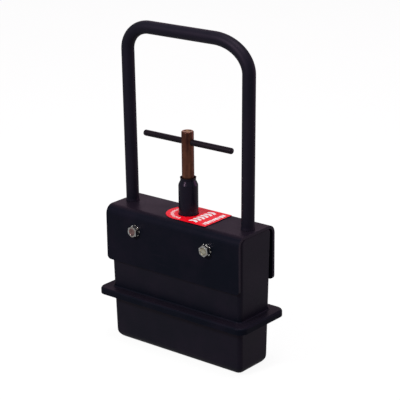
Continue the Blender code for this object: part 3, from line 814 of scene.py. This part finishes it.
def make_spindle():
    """The rod: dished and centre-drilled top, chamfered rim, and a spigot in the carrier."""
    low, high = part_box("spindle")
    radius = high.x
    top = high.z
    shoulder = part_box("carrier_plate")[1].z + SPIGOT_GAP
    drill_radius, drill_start, drill_tip = CENTRE_DRILL
    dish_radius, dish_depth = DISH_EDGE
    corners = [
        (0, top - drill_tip, 0),
        (drill_radius, top - drill_start, CENTRE_DRILL_FILLET),
        (dish_radius, top - dish_depth, DISH_EDGE_FILLET),
        (SPINDLE_RIM, top, SPINDLE_RIM_FILLET),
        (radius - SPINDLE_CHAMFER, top, SPINDLE_RIM_FILLET),
        (radius, top - SPINDLE_CHAMFER, SPINDLE_CHAMFER_FILLET),
        (radius, shoulder, SPINDLE_SHOULDER_FILLET),
        (SPIGOT_RADIUS, shoulder, 0),
        (SPIGOT_RADIUS, low.z + SPIGOT_CHAMFER, 0),
        (SPIGOT_RADIUS - SPIGOT_CHAMFER, low.z, 0),
        (0, low.z, 0),
    ]
    bm = bmesh.new()
    turned_solid(bm, rounded_profile(corners), TURNED_SIDES)
    spindle = finish_piece(bm, "spindle_rod", "plunger", ["spindle"], [BRONZE])
    bm = bmesh.new()
    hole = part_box("t_bar")[1].y + T_BAR_HOLE_GAP
    turned_solid(bm, [(hole, -2 * radius), (hole, 2 * radius)], T_BAR_HOLE_SIDES)
    move(bm, Matrix.Translation((0, 0, middle("t_bar").z)) @ ALONG_X)
    cut(spindle, cutter("t_bar_hole", bm))


def make_t_bar():
    """A round bar with softly crowned ends."""
    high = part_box("t_bar")[1]
    radius = high.y
    half = high.x
    crown_width, crown_depth = T_BAR_CROWN
    corners = [
        (0, half, 0),
        (radius - crown_width, half - crown_depth, T_BAR_CROWN_FILLET),
        (radius, half - T_BAR_END, T_BAR_END_FILLET),
    ]
    corners += [(r, -x, fillet) for r, x, fillet in reversed(corners)]
    bm = bmesh.new()
    turned_solid(bm, rounded_profile(corners), T_BAR_SIDES)
    move(bm, Matrix.Translation(middle("t_bar")) @ ALONG_X)
    finish_piece(bm, "t_bar_rod", "plunger", ["t_bar"], [BLACKENED])


def hex_ring(flats, z, chamfer_radius=None, drop=0.0):
    """A hexagon's outline at a height. With a chamfer radius, its corners drop below that height."""
    ring = []
    for i in range(HEX_SAMPLES):
        turn = 2 * math.pi * i / HEX_SAMPLES
        within = (turn + math.pi / 6) % (math.pi / 3) - math.pi / 6
        radius = flats / 2 / math.cos(math.pi / 6 - abs(within))
        fall = max(radius - chamfer_radius, 0) * drop if chamfer_radius else 0
        ring.append((radius * math.sin(turn), radius * math.cos(turn), z - fall))
    return ring


def circle_ring(radius, z):
    turns = [2 * math.pi * i / HEX_SAMPLES for i in range(HEX_SAMPLES)]
    return [(radius * math.sin(turn), radius * math.cos(turn), z) for turn in turns]


def thread_rings(radius, start, end):
    """Rings of a right-hand V thread, from one height to another."""
    steps = round((end - start) / THREAD_PITCH * THREAD_SAMPLES)
    rings = []
    for k in range(steps + 1):
        z = start + (end - start) * k / steps
        ring = []
        for i in range(HEX_SAMPLES):
            phase = (z / THREAD_PITCH + i / HEX_SAMPLES) % 1
            depth = THREAD_DEPTH * abs(2 * phase - 1)
            turn = 2 * math.pi * i / HEX_SAMPLES
            ring.append(((radius - depth) * math.sin(turn), (radius - depth) * math.cos(turn), z))
        rings.append(ring)
    return rings


def make_bolt(side, dish_finish):
    """A hexagon head with a dished top, over a shank that is threaded where the nut sits."""
    low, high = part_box(f"through_bolt_{side}")
    place = middle(f"through_bolt_{side}")
    base = low.y + HEAD_HEIGHT
    end = base - high.y
    height = HEAD_HEIGHT
    seat = HEX_FLATS / 2 * HEX_SEAT
    slope = math.tan(HEX_CHAMFER)
    rings = [circle_ring(BOLT_RADIUS - THREAD_DEPTH - BOLT_TIP[0], end)]
    rings += thread_rings(BOLT_RADIUS, end + BOLT_TIP[1], end + THREAD_LENGTH)
    rings += [circle_ring(BOLT_RADIUS, end + THREAD_LENGTH + THREAD_RUN_OUT), circle_ring(BOLT_RADIUS, 0)]
    rings += [hex_ring(HEX_FLATS - 2 * HEX_EDGE, 0), hex_ring(HEX_FLATS, HEX_EDGE)]
    rings += [hex_ring(HEX_FLATS, height, seat, slope)]
    rings += [circle_ring(seat, height), circle_ring(DISH_RADIUS + DISH_LIP[0], height)]
    rings += [circle_ring(DISH_RADIUS, height - DISH_LIP[1])]
    rings += [circle_ring(DISH_RADIUS - DISH_WALL[0], height - DISH_WALL[1] * DISH_DEPTH)]
    rings += [circle_ring(DISH_RADIUS * DISH_FLOOR, height - DISH_DEPTH)]
    bm = bmesh.new()
    dish = loft(bm, rings, cap_first=True, cap_last=True, marks=range(len(rings) - 3, len(rings)))[-1]
    dish[0].link_faces[-1].material_index = 1
    turned = TO_FRONT @ Matrix.Rotation(BOLT_TILTS[side], 4, "Z")
    move(bm, Matrix.Translation((place.x, base, place.z)) @ turned)
    name = f"through_bolt_{side}_hex"
    finish_piece(bm, name, "housing", [f"through_bolt_{side}"], [ZINC, dish_finish])


def make_nut(side):
    """A hexagon nut that is chamfered on both faces."""
    low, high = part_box(f"bolt_nut_{side}")
    place = middle(f"bolt_nut_{side}")
    height = high.y - low.y
    seat = HEX_FLATS / 2 * HEX_SEAT
    slope = math.tan(HEX_CHAMFER)
    bore = BOLT_RADIUS + NUT_BORE_GAP
    rings = [circle_ring(bore, 0), circle_ring(seat, 0)]
    rings += [hex_ring(HEX_FLATS, 0, seat, -slope), hex_ring(HEX_FLATS, height, seat, slope)]
    rings += [circle_ring(seat, height), circle_ring(bore + NUT_CHAMFER, height)]
    rings += [circle_ring(bore, height - NUT_CHAMFER)]
    bm = bmesh.new()
    loft(bm, rings, closed=True)
    turned = TO_BACK @ Matrix.Rotation(2 * BOLT_TILTS[side], 4, "Z")
    move(bm, Matrix.Translation((place.x, low.y, place.z)) @ turned)
    finish_piece(bm, f"bolt_nut_{side}_hex", "housing", [f"bolt_nut_{side}"], [ZINC])


def make_star_washer(node, turned, tilt):
    """A flat ring, which is its first two bands, with teeth twisted a little out of its plane."""
    low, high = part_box(node)
    place = middle(node)
    outer = (high.x - low.x) / 2
    root = outer - STAR_TOOTH
    samples = STAR_TEETH * TOOTH_SAMPLES
    quarter = TOOTH_SAMPLES / 4
    bm = bmesh.new()
    rows = []
    for radius in (BOLT_HOLE_RADIUS, (BOLT_HOLE_RADIUS + root) / 2, root, root + STAR_TOOTH / 2, outer):
        row = []
        for i in range(samples):
            turn = 2 * math.pi * i / samples
            across = (i % TOOTH_SAMPLES - quarter) / quarter
            twist = STAR_TWIST * across * max(radius - root, 0) / STAR_TOOTH
            row.append(bm.verts.new((radius * math.cos(turn), radius * math.sin(turn), twist)))
        rows.append(row)
    for k, (inner_row, outer_row) in enumerate(zip(rows, rows[1:])):
        for i in range(samples):
            j = (i + 1) % samples
            if k < 2 or i % TOOTH_SAMPLES < 2 * quarter:
                bm.faces.new((inner_row[i], outer_row[i], outer_row[j], inner_row[j]))
    bmesh.ops.delete(bm, geom=[v for v in bm.verts if not v.link_faces], context="VERTS")
    move(bm, Matrix.Translation(place) @ turned @ Matrix.Rotation(tilt, 4, "Z"))
    washer = finish_piece(bm, f"{node}_star", "housing", [node], [ZINC])
    solidify = washer.modifiers.new("plate", "SOLIDIFY")
    solidify.thickness = STAR_PLATE
    solidify.offset = 0


def make_fasteners():
    for side, dish_finish in (("left", ZINC_DISH), ("right", ZINC_STRAW)):
        tilt = BOLT_TILTS[side]
        make_bolt(side, dish_finish)
        make_nut(side)
        make_star_washer(f"bolt_washer_{side}", TO_FRONT, 3 * tilt)
        make_star_washer(f"nut_washer_{side}", TO_BACK, -tilt)


def prism(bm, outline, low, high):
    """An upright prism over a convex outline of (x, y) points."""
    rings = [[(x, y, z) for x, y in outline] for z in (low, high)]
    loft(bm, rings, cap_first=True, cap_last=True)


def make_name_plate():
    """A red plate with dark edges, rounded at its left end, with plain white marks on it."""
    low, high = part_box("name_plate")
    radius = high.y
    centre = (low.x + radius, 0)
    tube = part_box("guide_tube")[1].x + PLATE_CLEARANCE
    corner = PLATE_CORNER
    outline = arc((high.x - corner, corner - radius), corner, 270, 360, FINE_STEPS)
    outline += arc((high.x - corner, radius - corner), corner, 0, 90, FINE_STEPS)
    outline += arc(centre, radius, 90, 270, PLATE_END_STEPS)
    hole = arc((0, 0), tube, 360, 0, PLATE_HOLE_STEPS)[:-1]
    bottom = low.z - PLATE_SINK
    top = high.z - INK_THICKNESS - PLATE_SINK
    bm = bmesh.new()
    edges = []
    for loop in (outline, hole):
        verts = [bm.verts.new((x, y, bottom)) for x, y in loop]
        edges += [bm.edges.new((v, verts[(i + 1) % len(verts)])) for i, v in enumerate(verts)]
    filled = bmesh.ops.triangle_fill(bm, use_beauty=True, edges=edges)
    faces = [g for g in filled["geom"] if isinstance(g, bmesh.types.BMFace)]
    raised = bmesh.ops.extrude_face_region(bm, geom=faces, use_keep_orig=True)
    lifted = [g for g in raised["geom"] if isinstance(g, bmesh.types.BMVert)]
    bmesh.ops.translate(bm, verts=lifted, vec=(0, 0, top - bottom))
    bm.normal_update()
    for face in bm.faces:
        face.material_index = int(abs(face.normal.z) < 0.5)
    finishes = [RED_INK, ENAMEL]
    finish_piece(bm, "name_plate_red", "housing", ["name_plate"], finishes, smooth=False)
    make_plate_marks(top - INK_THICKNESS / 2, top + INK_THICKNESS)


def make_plate_marks(low, high):
    """Plain marks: a row of bold chevrons, a row of short bars, and bars round the tube."""
    bm = bmesh.new()
    pitch = 2 * MARK_REACH / CHEVRONS
    for i in range(CHEVRONS):
        chevron(bm, CHEVRON_X, pitch * (i + 0.5) - MARK_REACH, CHEVRON_SIZE, pitch, low, high)
    pitch = 2 * MARK_REACH / BARS
    for i in range(BARS):
        y = -MARK_REACH + pitch * (i + 0.5)
        half_y = pitch * (WIDE_BAR if i % 3 else NARROW_BAR)
        half_x = BAR_MARK / 2 * (1 if i % 2 else SHORT_BAR)
        signs = ((-1, -1), (1, -1), (1, 1), (-1, 1))
        prism(bm, [(BARS_X + a * half_x, y + b * half_y) for a, b in signs], low, high)
    for i in range(ARC_BARS):
        angle = ARC_START + (ARC_END - ARC_START) * i / (ARC_BARS - 1)
        inner, outer = ARC_RADII
        if i % 2:
            inner += ARC_SHORTER
        spread = math.degrees(ARC_BAR_WIDTH / 2 / outer)
        points = arc((0, 0), outer, angle - spread, angle + spread, 1)
        points += arc((0, 0), inner, angle + spread, angle - spread, 1)
        prism(bm, points, low, high)
    finish_piece(bm, "name_plate_marks", "housing", [], [WHITE_INK], smooth=False)


def chevron(bm, x, y, size, pitch, low, high):
    """Two slanted bars that meet in a point, which looks along +Y."""
    bar = pitch * CHEVRON_BAR
    tip = y + pitch / 2
    tail = tip - pitch * CHEVRON_LEAN
    for side in (-1, 1):
        end = x + side * size / 2
        prism(bm, [(x, tip), (x, tip - bar), (end, tail - bar), (end, tail)], low, high)


# ---------------------------------------------------------------- inner pieces and stage


def finish_inner_nodes():
    """Gives the CAD nodes that keep their own mesh a finer material."""
    ground = machined("ground_steel", (0.46, 0.45, 0.44), (0.30, 0.28, 0.27), 1.0, 0.36)
    milled = machined("milled_aluminium", (0.62, 0.63, 0.64), (0.44, 0.44, 0.45), 1.0, 0.38)
    brass = machined("turned_brass", (0.62, 0.43, 0.16), (0.40, 0.25, 0.09), 1.0, 0.30)
    ferrite = machined("ground_ferrite", (0.040, 0.040, 0.044), (0.016, 0.016, 0.018), 0.1, 0.55)
    finishes = {
        "guide_bush": BRONZE,
        "stop_spacer": ground,
        "pole_plate": ground,
        "carrier_plate": milled,
        "carrier_screw": ZINC,
        "spindle_washer": ZINC,
        "spindle_nut": ZINC,
        "clamp_screw": brass,
        "magnet": ferrite,
    }
    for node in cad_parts:
        for start, material in finishes.items():
            if node.startswith(start):
                piece = bpy.data.objects[node]
                piece.data.materials.clear()
                piece.data.materials.append(material)


def camera_boost(tree, lit, seen):
    """A strength that is one value as a light on the object, and another where it is seen directly."""
    strength = tree.nodes.new("ShaderNodeMapRange")
    strength.inputs["To Min"].default_value = lit
    strength.inputs["To Max"].default_value = seen
    path = tree.nodes.new("ShaderNodeLightPath")
    tree.links.new(path.outputs["Is Camera Ray"], strength.inputs["Value"])
    return strength.outputs["Result"]


def make_floor():
    mesh = bpy.data.meshes.new("floor")
    half = FLOOR_SIZE / 2
    corners = [(x * half, y * half, -SEAM) for x, y in ((-1, -1), (1, -1), (1, 1), (-1, 1))]
    mesh.from_pydata(corners, [], [(0, 1, 2, 3)])
    floor = bpy.data.objects.new("floor", mesh)
    bpy.context.scene.collection.objects.link(floor)
    n = Nodes("pale_floor")
    n.colour(n.mix(n.noise(3, 3, 0.5), (0.10, 0.10, 0.10), (0.12, 0.12, 0.12)))
    n.set(Roughness=0.9, Emission_Color=(1, 1, 1, 1), Specular_IOR_Level=0.0)
    n.link(camera_boost(n.tree, BOUNCE_GLOW, FLOOR_GLOW), n.shader.inputs["Emission Strength"])
    mesh.materials.append(n.material)


def direction(azimuth, elevation):
    """A unit vector. Azimuth 0 is the front, and it grows towards +X."""
    flat = math.cos(elevation)
    return Vector((math.sin(azimuth) * flat, -math.cos(azimuth) * flat, math.sin(elevation)))


def make_lights(target):
    world = bpy.data.worlds.new("studio")
    world.use_nodes = True
    tree = world.node_tree
    tree.links.new(camera_boost(tree, WORLD_GLOW, 1.0), tree.nodes["Background"].inputs["Strength"])
    tree.nodes["Background"].inputs["Color"].default_value = (1, 1, 1, 1)
    bpy.context.scene.world = world
    for name, (size, distance, azimuth, elevation, power, colour) in LIGHTS.items():
        data = bpy.data.lights.new(name, "AREA")
        data.size = size
        data.energy = power
        data.color = colour
        light = bpy.data.objects.new(name, data)
        towards = direction(azimuth, elevation)
        light.location = target + towards * distance
        light.rotation_euler = towards.to_track_quat("Z", "Y").to_euler()
        light.visible_camera = False
        bpy.context.scene.collection.objects.link(light)


def make_camera():
    low, high = CAD_BOUNDS
    back = direction(AZIMUTH, ELEVATION)
    right = Vector((math.cos(AZIMUTH), math.sin(AZIMUTH), 0))
    up = back.cross(right)
    target = (Vector(low) + Vector(high)) / 2 + right * TARGET_RIGHT - Vector((0, 0, TARGET_DOWN))
    x = right * math.cos(ROLL) + up * math.sin(ROLL)
    y = up * math.cos(ROLL) - right * math.sin(ROLL)
    data = bpy.data.cameras.new("camera")
    data.lens = LENS
    data.sensor_width = SENSOR
    camera = bpy.data.objects.new("camera", data)
    matrix = Matrix((x, y, back)).transposed().to_4x4()
    matrix.translation = target + back * CAMERA_DISTANCE
    camera.matrix_world = matrix
    bpy.context.scene.collection.objects.link(camera)
    bpy.context.scene.camera = camera
    return target


make_casing()
make_flange_collar()
make_cover()
make_handle()
make_guide_tube()
make_name_plate()
make_fasteners()
make_spindle()
make_t_bar()
finish_inner_nodes()
make_floor()
make_lights(make_camera())
bpy.context.scene.view_settings.view_transform = "Standard"
